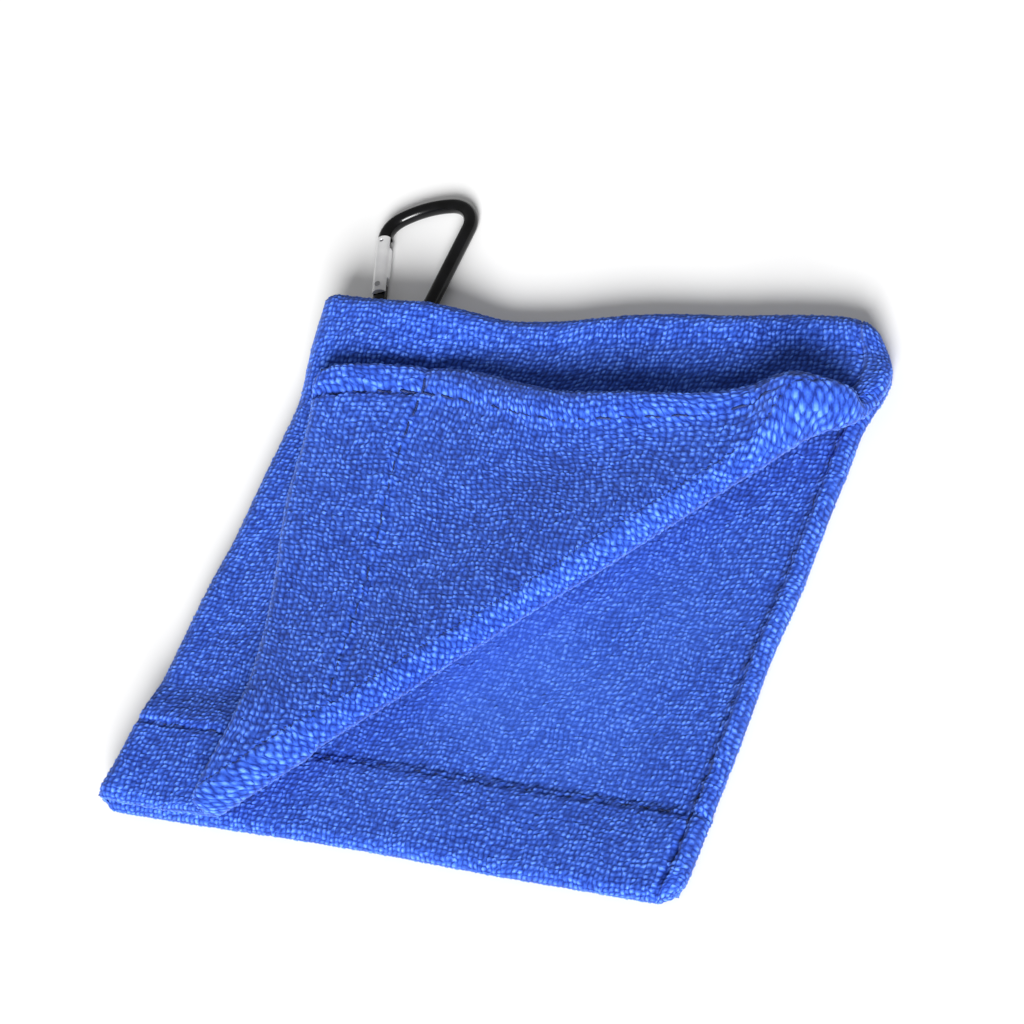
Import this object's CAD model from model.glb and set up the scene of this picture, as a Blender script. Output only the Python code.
"""Looks of the pocket golf towel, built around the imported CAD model.

The cloth is worked out in millimetres in the pouch's own frame: X runs along the wide hem, Y
towards the clip and Z up, with the pouch's centre at the origin.  `place` turns that into the
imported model's frame in metres.  A point of a panel is named by where it lay on the flat square
cloth, cx and cy from -70 to 70, before the front panel's corner was turned back.
"""
import math

import bpy
import numpy as np
from mathutils import Matrix, Vector


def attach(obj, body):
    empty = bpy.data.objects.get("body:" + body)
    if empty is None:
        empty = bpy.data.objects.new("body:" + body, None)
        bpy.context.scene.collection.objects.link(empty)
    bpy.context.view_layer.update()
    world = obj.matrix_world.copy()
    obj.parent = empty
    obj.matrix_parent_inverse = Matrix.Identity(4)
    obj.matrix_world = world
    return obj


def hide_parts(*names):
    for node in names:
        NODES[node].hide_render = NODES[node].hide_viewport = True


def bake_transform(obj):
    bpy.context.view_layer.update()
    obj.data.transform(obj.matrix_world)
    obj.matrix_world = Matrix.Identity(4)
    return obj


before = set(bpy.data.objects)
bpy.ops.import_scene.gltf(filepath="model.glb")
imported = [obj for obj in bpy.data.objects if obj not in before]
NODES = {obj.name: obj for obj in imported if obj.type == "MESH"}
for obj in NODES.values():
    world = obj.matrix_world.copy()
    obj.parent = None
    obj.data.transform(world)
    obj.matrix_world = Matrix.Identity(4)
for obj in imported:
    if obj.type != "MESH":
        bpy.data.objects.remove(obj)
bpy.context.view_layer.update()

# The pouch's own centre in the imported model, in millimetres.
POUCH_CENTRE = np.array([1.893, -18.021, 0.004])

# Sizes shared with the CAD model.
HALF = 70.0
PANEL_T = 3.5
FILM_T = 0.2
FILM_INSET = 4.0
PANEL_GAP = 0.3
WIDE_HEM = 21.0
BACK_SIDE_HEM = 5.4
FRONT_SIDE_HEM = 8.2
STITCH_IN = 1.4
HEM_T = 1.15
STITCH_PITCH = 4.6
OUTSET = 0.9
LIFT_MAX = 6.3
CLIP_X = -57.2
ROD_RAD = 1.75
STRAP_W = 6.0
LOOP_ROOT_Y = 60.1

# The fold runs from the mouth to the open side; `OUT` points to the turned-back corner's old place.
FOLD_START = np.array([-48.0, -70.0])
FOLD_ALONG = np.array([0.6693, 0.7430])
FOLD_OUT = np.array([0.7430, -0.6693])
FOLD_Z = 9.4
FOLD_RAD = 2.3
FOLD_ARC = 0.8 * math.pi * (FOLD_RAD + PANEL_T / 2)
FOLD_LEN = 176.3  # along the fold, from the mouth to the open side
OPEN_SLANT = 1.11  # how much less it is per mm beyond the fold, as the open side slants across
MOUTH_SLANT = 0.9  # how much further in the mouth is per mm beyond the fold
FLAP_STRETCH = 1.21

# How the cloth's edges close.
JOINED_RAD = 4.0
FREE_RAD = 2.3
STACK_MID = PANEL_T + PANEL_GAP / 2
CORNER_RAD = {(-1, -1): 3.0, (1, -1): 6.5, (1, 1): 13.0, (-1, 1): 4.0}

# Terry loops.
LOOP_PITCH = 1.2
LOOP_STEPS = 3
PILE_T = 0.34

# Stitches are drawn through spots this far apart, each stitch short of its two needle holes.
SPOT_STEP = 0.1
HOLE_SPOTS = 6
STITCH_POINTS = 9

# Metres in a millimetre.
METRE = 0.001


# ---------------------------------------------------------------- shape of the cloth


def smooth(t):
    """Smooth step from 0 to 1 as t runs from 0 to 1."""
    t = np.clip(t, 0.0, 1.0)
    return t * t * (3 - 2 * t)


def bell(t):
    """Bell curve, 1 at t = 0."""
    return np.exp(-t * t)


def round_corners(cx, cy):
    """Square cloth with its four corners rounded."""
    x, y = cx.copy(), cy.copy()
    for (sx, sy), radius in CORNER_RAD.items():
        p = np.clip((sx * cx - (HALF - radius)) / radius, 0, 1)
        q = np.clip((sy * cy - (HALF - radius)) / radius, 0, 1)
        inside = (p > 0) & (q > 0)
        x = np.where(inside, sx * (HALF - radius + radius * p * np.sqrt(1 - q * q / 2)), x)
        y = np.where(inside, sy * (HALF - radius + radius * q * np.sqrt(1 - p * p / 2)), y)
    return x, y


def outline(cx, cy):
    """Place in plan of a point of either panel: the square skewed a little, its edges bowed."""
    x, y = round_corners(cx, cy)
    x = x * (1 + OUTSET / HALF)
    y = y * (0.9943 + 0.02 * x / HALF) * (1 + OUTSET / HALF)
    sway = 0.5 * np.sin(y / 11) + 0.3 * np.sin(y / 5.3 + 1)
    # The seam between the panels draws the joined edges in by a hair.
    pinch_x = 0.6 * bell((cx + HALF) / 0.12)
    pinch_y = 0.6 * bell((HALF - cy) / 0.12)
    left_bow = 0.8 * np.cos(math.pi * y / 95) + 0.5 * bell((y + 48) / 12) + 0.5 * sway + pinch_x
    right_bow = 2.6 * bell((y - 56) / 8) + 0.6 * sway - 0.7
    top_bow = 1.2 * np.sin(math.pi * (x - 10) / 70) + 0.3 * np.sin(x / 7) + 2.6 * smooth((x + 45) / 70) - 0.8
    bottom_bow = 0.7 * bell((x + 12) / 28)
    new_x = x + smooth(-x / HALF) * left_bow + smooth((x - 40) / 30) * right_bow
    new_y = y + smooth(y / HALF) * (top_bow - pinch_y) + smooth(-y / HALF) * bottom_bow
    return new_x, new_y


def edge_distances(cx, cy):
    """Distance of a cloth point from the left, right, bottom and top edges."""
    return cx + HALF, HALF - cx, cy + HALF, HALF - cy


def edge_round(distance, radius):
    """Share of the full thickness left near a rounded edge."""
    t = np.clip(distance / radius, 0, 1)
    return np.sqrt(np.clip(1 - (1 - t) ** 2, 0, 1))


def rounding(cx, cy):
    """Share of the full thickness: joined edges at the left and top, free ones right and bottom."""
    left, right, bottom, top = edge_distances(cx, cy)
    joined = edge_round(left, JOINED_RAD) * edge_round(top, JOINED_RAD)
    return joined * edge_round(right, FREE_RAD) * edge_round(bottom, FREE_RAD)


def joined_share(cx, cy):
    """1 at a joined edge and 0 at a free one."""
    left, right, bottom, top = edge_distances(cx, cy)
    free = np.minimum(right, bottom)
    joined = np.minimum(left, top)
    return free / (free + joined + 1e-6)


def ripple(x, y, phase):
    """Soft unevenness of cloth that has been handled."""
    waves = np.sin(x / 9.1 + 0.7 * np.sin(y / 13) + phase)
    waves = waves + 0.8 * np.sin(y / 8.3 + x / 17 + 2 * phase)
    return waves + 0.5 * np.sin((x + y) / 5.2 + 3 * phase) + 0.4 * np.sin((x - 1.7 * y) / 6.1 + phase)


def front_wide_hem(cx):
    """Depth of the front panel's hem at the mouth, a little deeper towards its turned-back corner."""
    return WIDE_HEM + 2.3 * smooth((cx + 30) / 70)


def hem_height(cx, cy, side_hem, wide_hem):
    """Extra height of the turned-in hems at the mouth and at the open side."""
    _, right, bottom, _ = edge_distances(cx, cy)
    wide = smooth((wide_hem - bottom) / 1.2)
    side = smooth((side_hem - right) / 1.2)
    middle = (side_hem - STITCH_IN) / 2
    puff = 0.9 * np.clip(1 - ((right - middle) / middle) ** 2, 0, 1)
    puff = puff + 0.35 * np.clip(1 - ((bottom - 9) / 9) ** 2, 0, 1)
    return HEM_T * np.maximum(wide, side) + puff


def stitch_groove(cx, cy, side_hem, wide_hem):
    """Depth to which the stitches pull the cloth in, deeper at each needle hole."""
    _, right, bottom, _ = edge_distances(cx, cy)
    pulled = 0.85 + 0.35 * np.cos(2 * math.pi * np.stack([cx, cy]) / STITCH_PITCH)
    wide = bell((bottom - wide_hem + STITCH_IN) / 0.8) * pulled[0]
    side = bell((right - side_hem + STITCH_IN) / 0.8) * pulled[1]
    near_corner = 0.8 + 0.7 * bell(bottom / 24) * bell(right / 16)
    return np.maximum(wide, side) * near_corner


def lift(x, y):
    """How far the clip and its loop raise the cloth."""
    distance = np.hypot((x - CLIP_X) / 12, (y - HALF) / 11)
    return LIFT_MAX * (1 - smooth((distance - 1) / 2))


def beyond_fold(x, y):
    """Distance of a point of the flat panel past the straight fold line."""
    return (x - FOLD_START[0]) * FOLD_OUT[0] + (y - FOLD_START[1]) * FOLD_OUT[1]


def along_fold(x, y):
    """Distance of a point along the straight fold line, from the mouth."""
    return (x - FOLD_START[0]) * FOLD_ALONG[0] + (y - FOLD_START[1]) * FOLD_ALONG[1]


def fold_shift(s):
    """How far outside the straight line the cloth folds: most at the open side, inside at the mouth."""
    toe = -7.0 * (1 - smooth((s + 4) / 12))
    return 2.4 + 1.7 * smooth((s - 20) / 120) + 3.4 * smooth((s - 146) / 26) + toe


def past_fold(x, y):
    """Distance walked over the fold to a point of the front panel, negative before the fold."""
    return beyond_fold(x, y) - fold_shift(along_fold(x, y))


def front_under(x, y):
    """Underside of the fixed part of the front panel."""
    hem_line = -HALF + WIDE_HEM
    over_hems = 2.4 * smooth((hem_line + 12 - y) / 12)
    dip = 1.3 * bell((y - 51) / 8) * bell((x - 14) / 36)
    resting = lift(x, y) + PANEL_T + PANEL_GAP + over_hems - dip
    near = smooth((past_fold(x, y) + 12) / 12)
    return resting * (1 - near) + (FOLD_Z - FOLD_RAD - PANEL_T / 2) * near


def flap_lift(x, y):
    """How far the turned-back corner stands up in a hump by the fold's top end, and at its tip."""
    hump = 7.0 * bell((x - 59.5) / 8.0) * bell((y - 43.5) / 7.0)
    tip = 2.5 * bell((x + 56) / 24) * bell((y - 48) / 16)
    return hump + tip


def flap_under(x, y):
    """Underside of the turned-back corner: down on the front panel, up at the fold and top edge."""
    resting = front_under(x, y) + PANEL_T + 0.8
    near = smooth((past_fold(x, y) + 34) / 34)
    arch = 4.8 * bell((x - 22) / 28) * bell((y - 44) / 11) * (1 - near)
    at_fold = FOLD_Z + FOLD_RAD - PANEL_T / 2
    return resting * (1 - near) + at_fold * near + arch + flap_lift(x, y)


def back_surface(cx, cy, inner):
    """Point of the back panel: its inner face, which is up, or its outer face on the table."""
    x, y = outline(cx, cy)
    low = lift(x, y)
    high = low + PANEL_T + hem_height(cx, cy, BACK_SIDE_HEM, WIDE_HEM) + 0.16 * ripple(x, y, 0.4)
    high = high - stitch_groove(cx, cy, BACK_SIDE_HEM, WIDE_HEM)
    share = joined_share(cx, cy)
    closing = (low + high) / 2 * (1 - share) + (low + STACK_MID) * share
    face = high if inner else low
    return x, y, closing + (face - closing) * rounding(cx, cy)


def roll_height(cx, cy):
    """Roll of turned seam cloth along the joined edges."""
    left, _, _, top = edge_distances(cx, cy)
    along_top = 1.5 * bell((top - 4.5) / 4.0) - 0.5 * bell((top - 15) / 5)
    along_left = 0.7 * bell((left - 4.0) / 4.0)
    return np.maximum(along_top, along_left)


def flap_slide(s, n):
    """How far the turned-back cloth has slipped along the fold: its top edge sags, its side bows."""
    from_top = np.clip(FOLD_LEN - OPEN_SLANT * n - s, 0, None)
    from_side = np.clip(s - MOUTH_SLANT * n, 0, None)
    sag = -4.4 * bell((n - 41) / 13.4) * bell(from_top / 40)
    crest = 8.1 * bell((n - 16) / 8.2) * bell(from_top / 17)
    shoulder = 5.1 * bell((n - 72) / 12) * bell(from_top / 28)
    bow = -4.3 * smooth((n - 40) / 38) * bell(from_side / 35) + 0.2 * smooth((n - 74) / 14)
    curl = -7.0 * bell((n - 12) / 8) * bell(from_side / 14)
    return sag + crest + shoulder + bow + curl


def follow_fold(x, y, offset):
    """Point of the front panel at an offset from its middle, outer side positive."""
    s = along_fold(x, y)
    shift = fold_shift(s)
    n = beyond_fold(x, y) - shift
    fixed = n <= 0
    flap = n >= FOLD_ARC
    angle = math.pi * np.clip(n / FOLD_ARC, 0, 1)
    reach = shift + (FOLD_RAD - offset) * np.sin(angle)
    past = np.clip(n - FOLD_ARC, 0, None) * FLAP_STRETCH
    slid = s + smooth(n / FOLD_ARC) * flap_slide(s, n + shift)
    folded_x = FOLD_START[0] + slid * FOLD_ALONG[0] + (reach - past) * FOLD_OUT[0]
    folded_y = FOLD_START[1] + slid * FOLD_ALONG[1] + (reach - past) * FOLD_OUT[1]
    rise = smooth(n / FOLD_ARC) * flap_lift(folded_x, folded_y)
    arc_z = FOLD_Z - (FOLD_RAD - offset) * np.cos(angle) + rise
    flap_z = flap_under(folded_x, folded_y) + PANEL_T / 2 - offset
    fixed_z = front_under(x, y) + PANEL_T / 2 + offset
    z = np.where(fixed, fixed_z, np.where(flap, flap_z, arc_z))
    return np.where(fixed, x, folded_x), np.where(fixed, y, folded_y), z


def front_surface(cx, cy, outer):
    """Point of the front panel's outer or inner face."""
    x, y = outline(cx, cy)
    x = x + 2.6 * smooth((cx - 50) / 20) * bell((cy - 50) / 9)
    n = past_fold(x, y)
    groove = stitch_groove(cx, cy, FRONT_SIDE_HEM, front_wide_hem(cx))
    side_puff = 0.7 * smooth((FRONT_SIDE_HEM - STITCH_IN - HALF + cx) / 2)
    outward = PANEL_T / 2 + 0.12 * ripple(x, y, 1.9) - 0.9 * groove + side_puff
    outward = outward + roll_height(cx, cy) * (1 - smooth((n + 12) / 12))
    hems = hem_height(cx, cy, FRONT_SIDE_HEM, front_wide_hem(cx)) * (1 - 0.5 * bell(n / 9))
    inward = -PANEL_T / 2 - hems + groove - 0.14 * ripple(x, y, 3.1)
    share = joined_share(cx, cy)
    seam = lift(x, y) + STACK_MID - front_under(x, y) - PANEL_T / 2
    closing = (outward + inward) / 2 * (1 - share) + seam * share
    closing = np.where(n <= 0, closing, (outward + inward) / 2)
    face = outward if outer else inward
    return follow_fold(x, y, closing + (face - closing) * rounding(cx, cy))


# ---------------------------------------------------------------- terry loops


def scatter(a, b, seed):
    """Repeatable numbers from 0 to 1, one for each pair of whole numbers."""
    value = np.sin(a * 127.1 + b * 311.7 + seed * 74.7) * 43758.5453
    return value - np.floor(value)


def loop_lines(low_rad, high_rad):
    """Places of the grid lines along the cloth, a whole number of loops from rim to rim."""
    start = -HALF + low_rad * (1 - math.pi / 2)
    end = HALF - high_rad * (1 - math.pi / 2)
    loops = int(round((end - start) / LOOP_PITCH))
    return np.linspace(start, end, loops * LOOP_STEPS + 1)


def flat_place(walked, low_rad, high_rad):
    """Place on the flat square of a point reached by walking round the cloth's rounded edges."""
    from_low = np.clip((walked + HALF) / low_rad - 1 + math.pi / 2, 0, math.pi / 2)
    from_high = np.clip((HALF - walked) / high_rad - 1 + math.pi / 2, 0, math.pi / 2)
    place_low = -HALF + low_rad * (1 - np.cos(from_low))
    place_high = HALF - high_rad * (1 - np.cos(from_high))
    inside = np.where(from_high < math.pi / 2, place_high, walked)
    return np.where(from_low < math.pi / 2, place_low, inside)


def shared_by_loops(of_loop, across, along):
    """Values at the grid points: a loop's own value on its top, and a mean in the gaps."""
    padded = np.pad(of_loop, 1)
    column, before = across // LOOP_STEPS + 1, across // LOOP_STEPS + 1 - (across % LOOP_STEPS == 0)
    row, under = along // LOOP_STEPS + 1, along // LOOP_STEPS + 1 - (along % LOOP_STEPS == 0)
    corners = padded[column, row] + padded[before, row] + padded[column, under] + padded[before, under]
    return corners / 4


def terry_grid():
    """Grid of points over a panel, with each loop's top on four of them and gaps between.

    Returns where each point is on the cloth and how high it stands, from 0 in the gaps to 1."""
    line_u = loop_lines(JOINED_RAD, FREE_RAD)
    line_v = loop_lines(FREE_RAD, JOINED_RAD)
    across, along = np.meshgrid(np.arange(line_u.size), np.arange(line_v.size), indexing="ij")
    u, v = line_u[across], line_v[along]
    column, row = np.meshgrid(
        np.arange(line_u.size // LOOP_STEPS), np.arange(line_v.size // LOOP_STEPS), indexing="ij")
    drift_u = shared_by_loops(0.6 * LOOP_PITCH * (scatter(column, row, 1) - 0.5), across, along)
    drift_v = shared_by_loops(0.6 * LOOP_PITCH * (scatter(column, row, 2) - 0.5), across, along)
    tall = shared_by_loops(0.4 + 0.6 * scatter(column, row, 4), across, along)
    side_u = np.choose(across % LOOP_STEPS, [0, 1, -1])
    side_v = np.choose(along % LOOP_STEPS, [0, 1, -1])
    on_top = (side_u != 0) & (side_v != 0)
    lean = 0.3 * (shared_by_loops(scatter(column, row, 5), across, along) - 0.5)
    drift_u = drift_u + LOOP_PITCH * on_top * (0.05 * side_u + lean * side_v)
    drift_v = drift_v + LOOP_PITCH * on_top * (0.05 * side_v - lean * side_u)
    drift_u = drift_u + 0.45 * np.sin(v / 4.1 + 0.8 * np.sin(u / 6.7)) + 0.2 * np.sin(v / 1.9 + u / 3)
    drift_v = drift_v + 0.45 * np.sin(u / 4.7 + 1.3 * np.sin(v / 7.9)) + 0.2 * np.sin(u / 2.1 - v / 4)
    rim = np.minimum(np.minimum(across, line_u.size - 1 - across), np.minimum(along, line_v.size - 1 - along))
    free = np.clip(rim / LOOP_STEPS, 0, 1)
    bridged = 0.5 * scatter(across, along, 6) ** 2
    pile = tall * np.where(on_top, 0.85 + 0.3 * scatter(across, along, 7), bridged)
    return u + free * drift_u, v + free * drift_v, pile


def grid_normals(points):
    """Unit normals of a grid of points, to the side that its two directions wind to."""
    du = np.gradient(points, axis=0)
    dv = np.gradient(points, axis=1)
    normals = np.cross(du, dv)
    length = np.linalg.norm(normals, axis=2, keepdims=True)
    return normals / np.maximum(length, 1e-9)


# ---------------------------------------------------------------- building meshes


def place(points):
    """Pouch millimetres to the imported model's metres."""
    return (np.asarray(points, float) + POUCH_CENTRE) * METRE


def new_mesh(name, points, faces, attributes, material):
    """Mesh object from points in pouch millimetres, its faces and its named point values."""
    mesh = bpy.data.meshes.new(name)
    mesh.vertices.add(len(points))
    mesh.vertices.foreach_set("co", place(points).astype(np.float32).ravel())
    faces = np.asarray(faces, np.int32)
    sides = faces.shape[1]
    mesh.loops.add(faces.size)
    mesh.loops.foreach_set("vertex_index", faces.ravel())
    mesh.polygons.add(len(faces))
    mesh.polygons.foreach_set("loop_start", np.arange(0, faces.size, sides, dtype=np.int32))
    mesh.polygons.foreach_set("loop_total", np.full(len(faces), sides, np.int32))
    mesh.update(calc_edges=True)
    mesh.shade_smooth()
    for title, kind, values in attributes:
        layer = mesh.attributes.new(title, kind, "POINT")
        field = "value" if kind == "FLOAT" else "vector"
        layer.data.foreach_set(field, np.asarray(values, np.float32).ravel())
    mesh.materials.append(material)
    piece = bpy.data.objects.new(name, mesh)
    bpy.context.scene.collection.objects.link(piece)
    return piece


class Slab:
    """Closed cloth with an upper and a lower face over one grid, ready to be cut into pieces.

    `upper` and `lower` are grids of points; values maps each point attribute's name to its kind and
    its two grids, for the upper face and the lower one."""

    def __init__(self, upper, lower, values):
        rim = np.zeros(upper.shape[:2], bool)
        rim[0, :] = rim[-1, :] = rim[:, 0] = rim[:, -1] = True
        lower = np.where(rim[..., None], upper, lower)
        self.points = np.concatenate([upper.reshape(-1, 3), lower.reshape(-1, 3)])
        self.values = {}
        for title, (kind, top, under) in values.items():
            width = 1 if kind == "FLOAT" else 3
            both = np.concatenate([top.reshape(-1, width), under.reshape(-1, width)])
            self.values[title] = (kind, both)
        numbers = np.arange(rim.size).reshape(rim.shape)
        self.upper = numbers
        self.lower = np.where(rim, numbers, numbers + rim.size)

    def cut(self, name, keep, material):
        """Piece made of the cells where keep is true, walled where it meets the other cells."""
        up, low = self.upper, self.lower

        def quads(grid, flip):
            corners = [grid[:-1, :-1], grid[1:, :-1], grid[1:, 1:], grid[:-1, 1:]]
            if flip:
                corners.reverse()
            return np.stack([c[keep] for c in corners], axis=1)

        parts = [quads(up, False), quads(low, True)]
        side = keep[1:, :] != keep[:-1, :]
        i, j = np.nonzero(side)
        wall = np.stack([up[i + 1, j], up[i + 1, j + 1], low[i + 1, j + 1], low[i + 1, j]], axis=1)
        inner = keep[i, j]
        wall[inner] = wall[inner][:, ::-1]
        parts.append(wall)
        side = keep[:, 1:] != keep[:, :-1]
        i, j = np.nonzero(side)
        wall = np.stack([up[i, j + 1], low[i, j + 1], low[i + 1, j + 1], up[i + 1, j + 1]], axis=1)
        inner = keep[i, j]
        wall[inner] = wall[inner][:, ::-1]
        parts.append(wall)
        used, faces = np.unique(np.concatenate(parts), return_inverse=True)
        values = [(title, kind, both[used]) for title, (kind, both) in self.values.items()]
        return new_mesh(name, self.points[used], faces.reshape(-1, 4), values, material)


def terry_slab(surface, pressed=None):
    """Slab of terry whose two faces follow surface(cx, cy, up), with its loops raised from them."""
    u, v, pile = terry_grid()
    cx = flat_place(u, JOINED_RAD, FREE_RAD)
    cy = flat_place(v, FREE_RAD, JOINED_RAD)
    height = pile if pressed is None else pile + (0.75 - pile) * pressed(cx, cy)
    faces = []
    for up, sunk in ((True, 0.72), (False, 1.0)):
        points = np.stack(surface(cx, cy, up), axis=2)
        normals = grid_normals(points) * (1 if up else -1)
        faces.append(points + normals * (PILE_T * (height - sunk))[..., None])
    cloth = np.stack([u, v, np.zeros_like(u)], axis=2)
    values = {"pile": ("FLOAT", height, height), "cloth": ("FLOAT_VECTOR", cloth, cloth + [0, 0, 40])}
    return cx, cy, Slab(faces[0], faces[1], values)


def film_slab(surface):
    """Thin film between a panel's two terry layers, a little smaller than them."""
    places = np.linspace(-HALF + FILM_INSET, HALF - FILM_INSET, 60)
    cx, cy = np.meshgrid(places, places, indexing="ij")
    upper = np.stack(surface(cx, cy, FILM_T / 2), axis=2)
    lower = np.stack(surface(cx, cy, -FILM_T / 2), axis=2)
    return cx, cy, Slab(upper, lower, {})


def rod_faces(rings, around):
    """Side faces of a tube made of rings of `around` points each."""
    faces = []
    for ring in range(rings - 1):
        for i in range(around):
            j = (i + 1) % around
            low, high = ring * around, (ring + 1) * around
            faces.append((low + i, low + j, high + j, high + i))
    return faces


def thread_rods(name, lines, radius, material):
    """One mesh of thin round threads, one along each line of points, tapered at its ends."""
    around = 8
    turns = np.linspace(0, 2 * math.pi, around, endpoint=False)
    points, faces = [], []
    for line in lines:
        line = np.asarray(line, float)
        count = len(line)
        along = np.gradient(line, axis=0)
        along /= np.linalg.norm(along, axis=1, keepdims=True)
        side = np.cross(along, [0.0, 0.0, 1.0])
        side /= np.maximum(np.linalg.norm(side, axis=1, keepdims=True), 1e-9)
        up = np.cross(side, along)
        taper = radius * np.sqrt(np.clip(1 - np.linspace(-0.98, 0.98, count) ** 6, 0.02, 1))
        circle = np.cos(turns)[None, :, None] * side[:, None] + np.sin(turns)[None, :, None] * up[:, None]
        rings = line[:, None] + circle * taper[:, None, None]
        first = sum(len(p) for p in points)
        points.append(rings.reshape(-1, 3))
        faces += [tuple(first + k for k in face) for face in rod_faces(count, around)]
        for ring, flip in ((0, True), (count - 1, False)):
            centre = first + count * around + (0 if ring == 0 else 1)
            for i in range(0, around, 2):
                corner = [first + ring * around + (i + k) % around for k in range(3)]
                quad = (centre, corner[0], corner[1], corner[2])
                faces.append(quad[::-1] if flip else quad)
        points.append(np.array([line[0], line[-1]]))
    return new_mesh(name, np.concatenate(points), faces, (), material)


def swept_strap(name, line, width, thickness, material):
    """Webbing of a given width across X along a line in the YZ plane, with rounded edges."""
    line = np.asarray(line, float)
    along = np.gradient(line, axis=0)
    along /= np.linalg.norm(along, axis=1, keepdims=True)
    out = np.cross(along, [1.0, 0.0, 0.0])
    around = 32
    turns = np.linspace(0, 2 * math.pi, around, endpoint=False)
    power = 0.35
    across = np.sign(np.cos(turns)) * np.abs(np.cos(turns)) ** power * width / 2
    high = np.sign(np.sin(turns)) * np.abs(np.sin(turns)) ** power * thickness / 2
    walked = np.concatenate([[0], np.cumsum(np.linalg.norm(np.diff(line, axis=0), axis=1))])
    ribs = 1 + 0.1 * np.sin(walked * 2 * math.pi / 0.8)[:, None]
    rings = line[:, None] + np.array([1.0, 0, 0]) * across[None, :, None]
    rings = rings + out[:, None] * (high[None, :] * ribs)[..., None]
    faces = rod_faces(len(line), around)
    points = rings.reshape(-1, 3)
    last = (len(line) - 1) * around
    for base, flip in ((0, True), (last, False)):
        for k in range(around // 2 - 1):
            quad = (base + k, base + k + 1, base + around - 2 - k, base + around - 1 - k)
            faces.append(quad if flip else quad[::-1])
    return new_mesh(name, points, faces, (), material)


# ---------------------------------------------------------------- materials


def new_material(name):
    """Plain node material and its Principled shader."""
    material = bpy.data.materials.new(name)
    material.use_nodes = True
    shader = material.node_tree.nodes["Principled BSDF"]
    return material, shader


def add_node(material, kind, **settings):
    """New node of a material, with its own settings."""
    node = material.node_tree.nodes.new(kind)
    for key, value in settings.items():
        setattr(node, key, value)
    return node


def link(material, start, end):
    """Joins one node's output to another's input."""
    material.node_tree.links.new(start, end)


def ramp(material, source, stops):
    """Colour ramp fed by source, with (place, colour) stops."""
    node = add_node(material, "ShaderNodeValToRGB")
    elements = node.color_ramp.elements
    while len(elements) < len(stops):
        elements.new(0.5)
    for element, (spot, colour) in zip(elements, stops):
        element.position = spot
        element.color = (*colour, 1.0)
    link(material, source, node.inputs["Fac"])
    return node.outputs["Color"]


def terry_material(name, deep, body, tip):
    """Dyed microfibre terry: dark between the loops and light on their tips, with a soft sheen."""
    material, shader = new_material(name)
    pile = add_node(material, "ShaderNodeAttribute", attribute_name="pile")
    cloth = add_node(material, "ShaderNodeAttribute", attribute_name="cloth")
    fibres = add_node(material, "ShaderNodeTexNoise")
    fibres.inputs["Scale"].default_value = 3.4
    fibres.inputs["Detail"].default_value = 4.0
    fibres.inputs["Roughness"].default_value = 0.7
    link(material, cloth.outputs["Vector"], fibres.inputs["Vector"])
    clouds = add_node(material, "ShaderNodeTexNoise")
    clouds.inputs["Scale"].default_value = 0.06
    clouds.inputs["Detail"].default_value = 2.0
    link(material, cloth.outputs["Vector"], clouds.inputs["Vector"])
    mixed = add_node(material, "ShaderNodeMath", operation="MULTIPLY_ADD")
    link(material, fibres.outputs["Fac"], mixed.inputs[0])
    mixed.inputs[1].default_value = 0.55
    link(material, pile.outputs["Fac"], mixed.inputs[2])
    faded = add_node(material, "ShaderNodeMath", operation="MULTIPLY_ADD")
    link(material, clouds.outputs["Fac"], faded.inputs[0])
    faded.inputs[1].default_value = 0.22
    link(material, mixed.outputs[0], faded.inputs[2])
    centred = add_node(material, "ShaderNodeMath", operation="SUBTRACT")
    link(material, faded.outputs[0], centred.inputs[0])
    centred.inputs[1].default_value = 0.36
    colour = ramp(material, centred.outputs[0], [(0.08, deep), (0.5, body), (1.0, tip)])
    link(material, colour, shader.inputs["Base Color"])
    shader.inputs["Roughness"].default_value = 0.92
    shader.inputs["Specular IOR Level"].default_value = 0.25
    shader.inputs["Sheen Weight"].default_value = 0.5
    shader.inputs["Sheen Roughness"].default_value = 0.4
    shader.inputs["Sheen Tint"].default_value = (0.32, 0.48, 1.0, 1.0)
    bump = add_node(material, "ShaderNodeBump")
    bump.inputs["Strength"].default_value = 0.6
    bump.inputs["Distance"].default_value = 0.00025
    link(material, fibres.outputs["Fac"], bump.inputs["Height"])
    link(material, bump.outputs["Normal"], shader.inputs["Normal"])
    return material


def thread_material():
    """Dark polyester sewing thread with a fine twist."""
    material, shader = new_material("navy_thread")
    places = add_node(material, "ShaderNodeTexCoord")
    twist = add_node(material, "ShaderNodeTexWave", wave_type="BANDS", bands_direction="DIAGONAL")
    twist.inputs["Scale"].default_value = 900.0
    link(material, places.outputs["Object"], twist.inputs["Vector"])
    colour = ramp(material, twist.outputs["Fac"], [(0.2, (0.004, 0.012, 0.07)), (0.9, (0.012, 0.035, 0.17))])
    link(material, colour, shader.inputs["Base Color"])
    shader.inputs["Roughness"].default_value = 0.6
    bump = add_node(material, "ShaderNodeBump")
    bump.inputs["Strength"].default_value = 0.5
    bump.inputs["Distance"].default_value = 0.0001
    link(material, twist.outputs["Fac"], bump.inputs["Height"])
    link(material, bump.outputs["Normal"], shader.inputs["Normal"])
    return material


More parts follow.
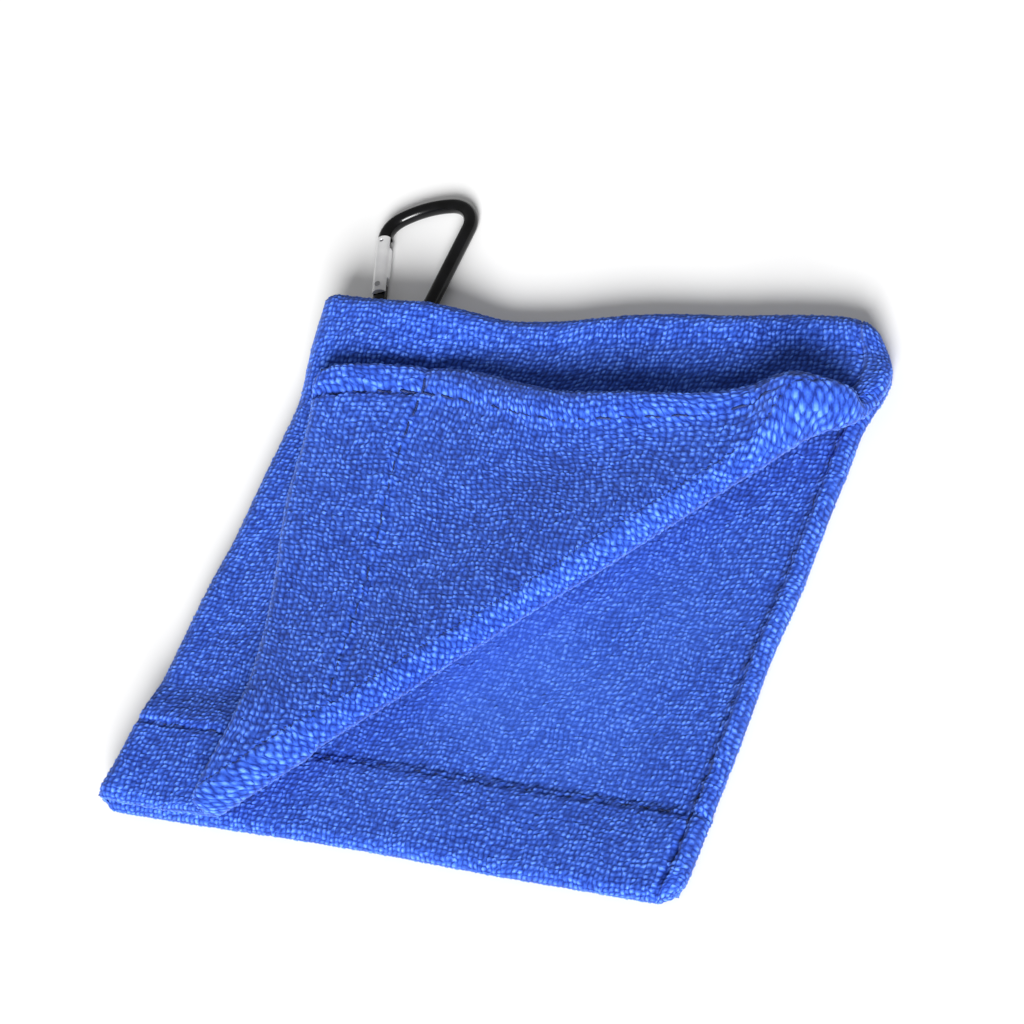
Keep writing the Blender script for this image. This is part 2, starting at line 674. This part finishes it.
def film_material():
    """Thin milky waterproof film."""
    material, shader = new_material("milky_film")
    places = add_node(material, "ShaderNodeTexCoord")
    creases = add_node(material, "ShaderNodeTexNoise")
    creases.inputs["Scale"].default_value = 120.0
    link(material, places.outputs["Object"], creases.inputs["Vector"])
    colour = ramp(material, creases.outputs["Fac"], [(0.3, (0.62, 0.66, 0.72)), (0.8, (0.8, 0.83, 0.87))])
    link(material, colour, shader.inputs["Base Color"])
    shader.inputs["Roughness"].default_value = 0.35
    return material


def webbing_material():
    """Black woven nylon webbing."""
    material, shader = new_material("black_webbing")
    places = add_node(material, "ShaderNodeTexCoord")
    weave = add_node(material, "ShaderNodeTexWave", wave_type="BANDS", bands_direction="DIAGONAL")
    weave.inputs["Scale"].default_value = 420.0
    weave.inputs["Distortion"].default_value = 1.5
    link(material, places.outputs["Object"], weave.inputs["Vector"])
    colour = ramp(material, weave.outputs["Fac"], [(0.1, (0.004, 0.004, 0.005)), (0.9, (0.03, 0.03, 0.033))])
    link(material, colour, shader.inputs["Base Color"])
    shader.inputs["Roughness"].default_value = 0.7
    bump = add_node(material, "ShaderNodeBump")
    bump.inputs["Strength"].default_value = 0.7
    bump.inputs["Distance"].default_value = 0.0002
    link(material, weave.outputs["Fac"], bump.inputs["Height"])
    link(material, bump.outputs["Normal"], shader.inputs["Normal"])
    return material


def metal_material(name, colour, worn, metallic, roughness, specular):
    """Finished metal with faint handling marks in its colour and gloss."""
    material, shader = new_material(name)
    places = add_node(material, "ShaderNodeTexCoord")
    marks = add_node(material, "ShaderNodeTexNoise")
    marks.inputs["Scale"].default_value = 260.0
    marks.inputs["Detail"].default_value = 5.0
    link(material, places.outputs["Object"], marks.inputs["Vector"])
    shade = ramp(material, marks.outputs["Fac"], [(0.35, colour), (0.75, worn)])
    link(material, shade, shader.inputs["Base Color"])
    gloss = add_node(material, "ShaderNodeMapRange")
    gloss.inputs["To Min"].default_value = roughness * 0.8
    gloss.inputs["To Max"].default_value = roughness * 1.3
    link(material, marks.outputs["Fac"], gloss.inputs["Value"])
    link(material, gloss.outputs["Result"], shader.inputs["Roughness"])
    shader.inputs["Metallic"].default_value = metallic
    shader.inputs["Specular IOR Level"].default_value = specular
    return material


# ---------------------------------------------------------------- pieces


def pressed_patch(cx, cy):
    """Where the back panel's loops have been pressed flat by the folded cloth."""
    smoothed = bell((cx - 20) / 34) * bell((cy + 18) / 34)
    return 0.42 * smoothed * (1 + 0.2 * ripple(cx, cy, 2.2))


def every_cell(cx):
    """Choice of all the cells of a grid."""
    return np.ones((cx.shape[0] - 1, cx.shape[1] - 1), bool)


def make_back(terry, film):
    """Back panel, lying inner side up, with its film."""
    cx, _, slab = terry_slab(back_surface, pressed_patch)
    panel = slab.cut("back_panel", every_cell(cx), terry)
    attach(panel, "pouch")
    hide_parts("back_outer_terry", "back_inner_terry", "back_wide_hem", "back_side_hem")

    def in_back(cx, cy, offset):
        """Point of the back panel at an offset from its middle."""
        x, y = outline(cx, cy)
        return x, y, lift(x, y) + PANEL_T / 2 + offset

    cx, _, slab = film_slab(in_back)
    sheet = slab.cut("back_film_sheet", every_cell(cx), film)
    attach(sheet, "pouch")
    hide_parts("back_film")


def cell_middles(field):
    """Mean of each grid cell's four corner values."""
    return (field[1:, 1:] + field[:-1, 1:] + field[1:, :-1] + field[:-1, :-1]) / 4


def make_front(terry, film):
    """Front panel: the part that stays down, the fold, the turned-back corner, and their films."""
    cx, cy, slab = terry_slab(front_surface)
    beyond = cell_middles(past_fold(*outline(cx, cy)))
    stays, turned = beyond <= 0, beyond >= FOLD_ARC
    fixed = slab.cut("front_panel", stays, terry)
    flap = slab.cut("turned_back_corner", turned, terry)
    fold = slab.cut("fold_of_front", (beyond > 0) & (beyond < FOLD_ARC), terry)
    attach(fixed, "pouch")
    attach(flap, "flap")
    blend_fold(fold)
    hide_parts("front_inner_terry", "front_outer_terry", "front_wide_hem")
    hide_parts("flap_outer_terry", "flap_inner_terry", "flap_wide_hem", "flap_side_hem")
    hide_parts("front_fold")

    def in_front(cx, cy, offset):
        """Point of the front panel at an offset from its middle."""
        return follow_fold(*outline(cx, cy), offset)

    cx, cy, slab = film_slab(in_front)
    beyond = cell_middles(past_fold(*outline(cx, cy)))
    short = 3.0
    stays, turned = beyond <= -short, beyond >= FOLD_ARC + short
    fixed_film = slab.cut("front_film_sheet", stays, film)
    flap_film = slab.cut("corner_film_sheet", turned, film)
    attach(fixed_film, "pouch")
    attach(flap_film, "flap")
    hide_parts("front_film")
    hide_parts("flap_film")


def blend_fold(piece):
    """Lets a piece turn with the fold: still below it, and with the turned-back corner above."""
    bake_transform(piece)


def row_of_spots(start, end):
    """Closely spaced cloth points from start to end."""
    start, end = np.array(start, float), np.array(end, float)
    count = int(np.linalg.norm(end - start) / SPOT_STEP)
    return start + (end - start) * np.linspace(0, 1, count)[:, None]


def front_wide_row(spots):
    """Moves a row of spots to the front panel's stitch line at the mouth."""
    return np.column_stack([spots[:, 0], front_wide_hem(spots[:, 0]) - HALF - STITCH_IN])


def make_stitches(thread):
    """Rows of thread that hold the hems."""
    wide = -HALF + WIDE_HEM - STITCH_IN
    back_side = HALF - BACK_SIDE_HEM + STITCH_IN
    front_side = HALF - FRONT_SIDE_HEM + STITCH_IN
    front_wide = front_wide_row(row_of_spots((-64, wide), (67, wide)))
    front_up = row_of_spots((front_side, HALF), (front_side, -67))
    walked_wide = past_fold(*outline(*front_wide.T))
    walked_up = past_fold(*outline(*front_up.T))
    rows = [
        ("stitches_back_wide", "pouch", back_surface, row_of_spots((-64, wide), (back_side, wide))),
        ("stitches_back_side", "pouch", back_surface, row_of_spots((back_side, -67), (back_side, 62))),
        ("stitches_front_wide", "pouch", front_surface, front_wide[walked_wide < -2]),
        ("stitches_flap_wide", "flap", front_surface, front_wide[walked_wide > FOLD_ARC + 2]),
        ("stitches_flap_side", "flap", front_surface, front_up[walked_up > FOLD_ARC + 2]),
    ]
    for node, body, surface, spots in rows:
        lines = []
        for face in (True, False):
            up = face if body == "pouch" else not face
            lines += stitch_row(surface, face, spots, up)
        piece = thread_rods(node + "_thread", lines, 0.3, thread)
        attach(piece, body)
        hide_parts(node)


def stitch_row(surface, face, spots, up):
    """Stitches on one face of a hem, proud of the loops near its corner and sunk elsewhere."""
    lines = []
    per_stitch = int(STITCH_PITCH / SPOT_STEP)
    dive = 0.5 * np.linspace(-1, 1, STITCH_POINTS) ** 6
    for i in range(len(spots) // per_stitch):
        held = spots[i * per_stitch + HOLE_SPOTS:(i + 1) * per_stitch - HOLE_SPOTS]
        held = held[np.linspace(0, len(held) - 1, STITCH_POINTS).astype(int)]
        line = np.stack(surface(held[:, 0], held[:, 1], face), axis=1)
        middle = held[STITCH_POINTS // 2]
        from_corner = np.hypot(HALF - 6 - middle[0], middle[1] + HALF - 20)
        shown = 0.1 + 0.9 * bell(from_corner / 10) + 0.2 * math.sin(i * 2.3)
        rise = -0.42 + 0.6 * shown - dive
        line[:, 2] += rise if up else -rise
        lines.append(line)
    return lines


def make_seams(thread):
    """Overcast thread along the two joined edges, sunk between the panels."""
    rows = [
        ("seam_top", (-66, HALF), (63, HALF)),
        ("seam_left", (-HALF, -67), (-HALF, 66)),
    ]
    for node, start, end in rows:
        start, end = np.array(start, float), np.array(end, float)
        length = np.linalg.norm(end - start)
        count = int(length / 0.3)
        spots = start + (end - start) * np.linspace(0, 1, count)[:, None]
        line = np.stack(back_surface(spots[:, 0], spots[:, 1], True), axis=1)
        walked = np.linspace(0, length, count)
        line[:, 2] += 0.7 * np.sin(walked * 2 * math.pi / 2.4)
        piece = thread_rods(node + "_thread", [line], 0.22, thread)
        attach(piece, "pouch")
        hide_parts(node)


def make_loop(webbing):
    """Webbing loop: its eye round the clip's narrow end, its two ends sewn under the back panel."""
    eye_y, eye_z = 68.9, 2.85
    clearance, half_strap = 0.3, 0.4
    mean_rad = ROD_RAD + clearance + half_strap
    root_y = LOOP_ROOT_Y + clearance
    turns = np.radians(np.linspace(105, -95, 34))
    ring = np.stack([eye_y + mean_rad * np.cos(turns), eye_z + mean_rad * np.sin(turns)], axis=1)
    upper = strand((root_y, 5.35), tuple(ring[0]))
    lower = strand(tuple(ring[-1]), (root_y, 4.75))
    line = np.concatenate([upper, ring[1:-1], lower])
    line = np.column_stack([np.full(len(line), CLIP_X), line])
    eye = swept_strap("loop_webbing", line, STRAP_W, 0.7, webbing)
    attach(eye, "loop")
    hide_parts("loop_eye")

    y = np.linspace(LOOP_ROOT_Y - 13.2, LOOP_ROOT_Y - 1.0, 50)
    under = lift(np.full_like(y, CLIP_X), y)
    tails = []
    for layer in (0.45, 1.25):
        line = np.column_stack([np.full_like(y, CLIP_X), y, under - layer])
        tails.append(swept_strap("loop_tail", line, STRAP_W, 0.74, webbing))
    tail = tails[0]
    join(tail, tails[1])
    tail.name = "loop_tails_webbing"
    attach(tail, "pouch")
    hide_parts("loop_tails")


def strand(start, end):
    """Straight strand between two points of the YZ plane."""
    t = np.linspace(0, 1, 16)[:, None]
    return np.array(start) * (1 - t) + np.array(end) * t


def join(kept, other):
    """Adds one mesh object's faces to another."""
    bpy.ops.object.select_all(action="DESELECT")
    other.select_set(True)
    kept.select_set(True)
    bpy.context.view_layer.objects.active = kept
    bpy.ops.object.join()


def dress_hardware():
    """Finishes of the clip's metal parts."""
    black = metal_material("black_anodised", (0.002, 0.002, 0.002), (0.005, 0.005, 0.006), 0.0, 0.2, 0.25)
    silver = metal_material("satin_silver", (0.82, 0.82, 0.83), (0.93, 0.93, 0.93), 0.35, 0.34, 0.5)
    steel = metal_material("spring_steel", (0.35, 0.35, 0.37), (0.55, 0.55, 0.57), 1.0, 0.28, 0.5)
    finishes = {
        "clip_body": black,
        "clip_gate": silver,
        "gate_rivet": steel,
        "catch_pin": steel,
        "gate_plunger": steel,
        "gate_spring": steel,
    }
    for name, material in finishes.items():
        NODES[name].data.materials.clear()
        NODES[name].data.materials.append(material)


def dress_loop_stitches(thread):
    """The box of stitches under the loop's sewn ends keeps its CAD shape."""
    NODES["stitches_loop"].data.materials.clear()
    NODES["stitches_loop"].data.materials.append(thread)


# ---------------------------------------------------------------- stage


def add_floor():
    """Plain pale floor under the object."""
    mesh = bpy.data.meshes.new("floor")
    reach = 3.0
    corners = [(-reach, -reach, 0), (reach, -reach, 0), (reach, reach, 0), (-reach, reach, 0)]
    mesh.from_pydata(corners, [], [(0, 1, 2, 3)])
    material, shader = new_material("pale_floor")
    shader.inputs["Base Color"].default_value = (0.93, 0.93, 0.93, 1.0)
    shader.inputs["Roughness"].default_value = 0.9
    mesh.materials.append(material)
    floor = bpy.data.objects.new("floor", mesh)
    bpy.context.scene.collection.objects.link(floor)


def add_lights():
    """Soft daylight tent, with a broad low key from the front right."""
    world = bpy.data.worlds.new("studio")
    world.use_nodes = True
    background = world.node_tree.nodes["Background"]
    background.inputs["Color"].default_value = (1.0, 1.0, 1.0, 1.0)
    background.inputs["Strength"].default_value = 0.28
    bpy.context.scene.world = world
    light = bpy.data.lights.new("key", "SUN")
    light.energy = 6.3
    light.angle = math.radians(22)
    key = bpy.data.objects.new("key", light)
    towards_key = Vector((0.42, -0.79, 0.44))
    key.rotation_euler = towards_key.to_track_quat("Z", "Y").to_euler()
    bpy.context.scene.collection.objects.link(key)
    bpy.context.scene.view_settings.view_transform = "Standard"


def add_camera():
    """Long lens from the front right, rolled so that the object leans to the right."""
    standpoint = Vector((0.38627, -0.37324, 0.54599))
    right = Vector((0.85806, 0.35727, -0.36891))
    up = Vector((-0.07385, 0.79672, 0.59981))
    back = right.cross(up)
    lens = bpy.data.cameras.new("camera")
    lens.lens = 123.05
    lens.sensor_width = 36.0
    lens.clip_start = 0.01
    camera = bpy.data.objects.new("camera", lens)
    turn = Matrix((right, up, back)).transposed().to_4x4()
    camera.matrix_world = Matrix.Translation(standpoint) @ turn
    bpy.context.scene.collection.objects.link(camera)
    bpy.context.scene.camera = camera


add_camera()
add_lights()
add_floor()
TERRY = terry_material(
    "blue_terry", deep=(0.004, 0.022, 0.21), body=(0.034, 0.110, 0.62), tip=(0.13, 0.30, 1.0))
THREAD = thread_material()
FILM = film_material()
WEBBING = webbing_material()
make_back(TERRY, FILM)
make_front(TERRY, FILM)
make_stitches(THREAD)
make_seams(THREAD)
make_loop(WEBBING)
dress_hardware()
dress_loop_stitches(THREAD)
